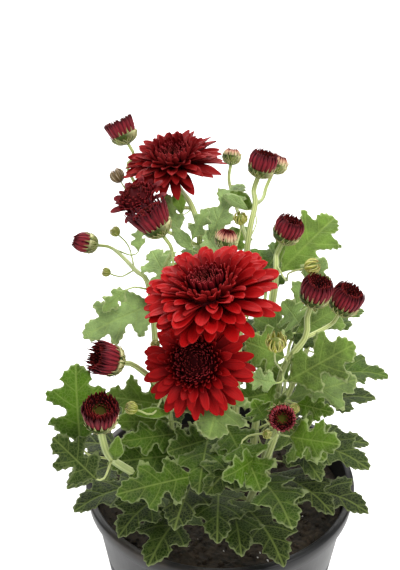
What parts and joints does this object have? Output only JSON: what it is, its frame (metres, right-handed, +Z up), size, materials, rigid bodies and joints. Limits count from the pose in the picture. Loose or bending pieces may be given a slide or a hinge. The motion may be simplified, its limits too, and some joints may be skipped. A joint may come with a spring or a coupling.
{
  "type": "pot chrysanthemum",
  "caption": "Flowering chrysanthemum with lobed leaves, open dark red blooms and closed buds, growing in soil in a plain black nursery pot.",
  "frame": {"origin": "middle of the pot's flat base", "axes": "+Z up the plant, -Y towards the side with the largest blooms, +X to its right"},
  "size_m": [0.1704, 0.2137, 0.2905],
  "materials": {
    "pot": "black moulded plastic, satin",
    "soil": "moist dark potting mix, rough",
    "foliage": "living green stems, leaves and bracts, softly hairy",
    "petals": "velvety dark red ray florets",
    "hearts": "tight maroon young florets",
    "buds": "closed wine red florets with pale stripes"
  },
  "bodies": {
    "root": {"bloom_back": "petals", "bloom_half": "petals", "bloom_lower": "petals", "bloom_main": "petals", "bloom_opening": "petals", "bloom_rear": "petals", "bud_back_low": "buds", "bud_back_right": "buds", "bud_back_upper": "buds", "bud_far_right": "buds", "bud_left": "buds", "bud_left_front": "buds", "bud_low_front": "buds", "bud_low_left": "buds", "bud_middle": "buds", "bud_rear_behind": "buds", "bud_rear_left": "buds", "bud_rear_middle": "buds", "bud_rear_right": "buds", "bud_right": "buds", "bud_right_front": "buds", "heart_back": "hearts", "heart_lower": "hearts", "heart_main": "hearts", "heart_rear": "hearts", "pot": "pot", "soil": "soil", "stem_back": "foliage", "stem_back_right": "foliage", "stem_front": "foliage", "stem_left": "foliage", "stem_left_front": "foliage", "stem_low_left": "foliage", "stem_low_right": "foliage", "stem_rear_left": "foliage", "stem_rear_right": "foliage", "stem_right": "foliage", "stem_right_front": "foliage"}
  },
  "joints": []
}
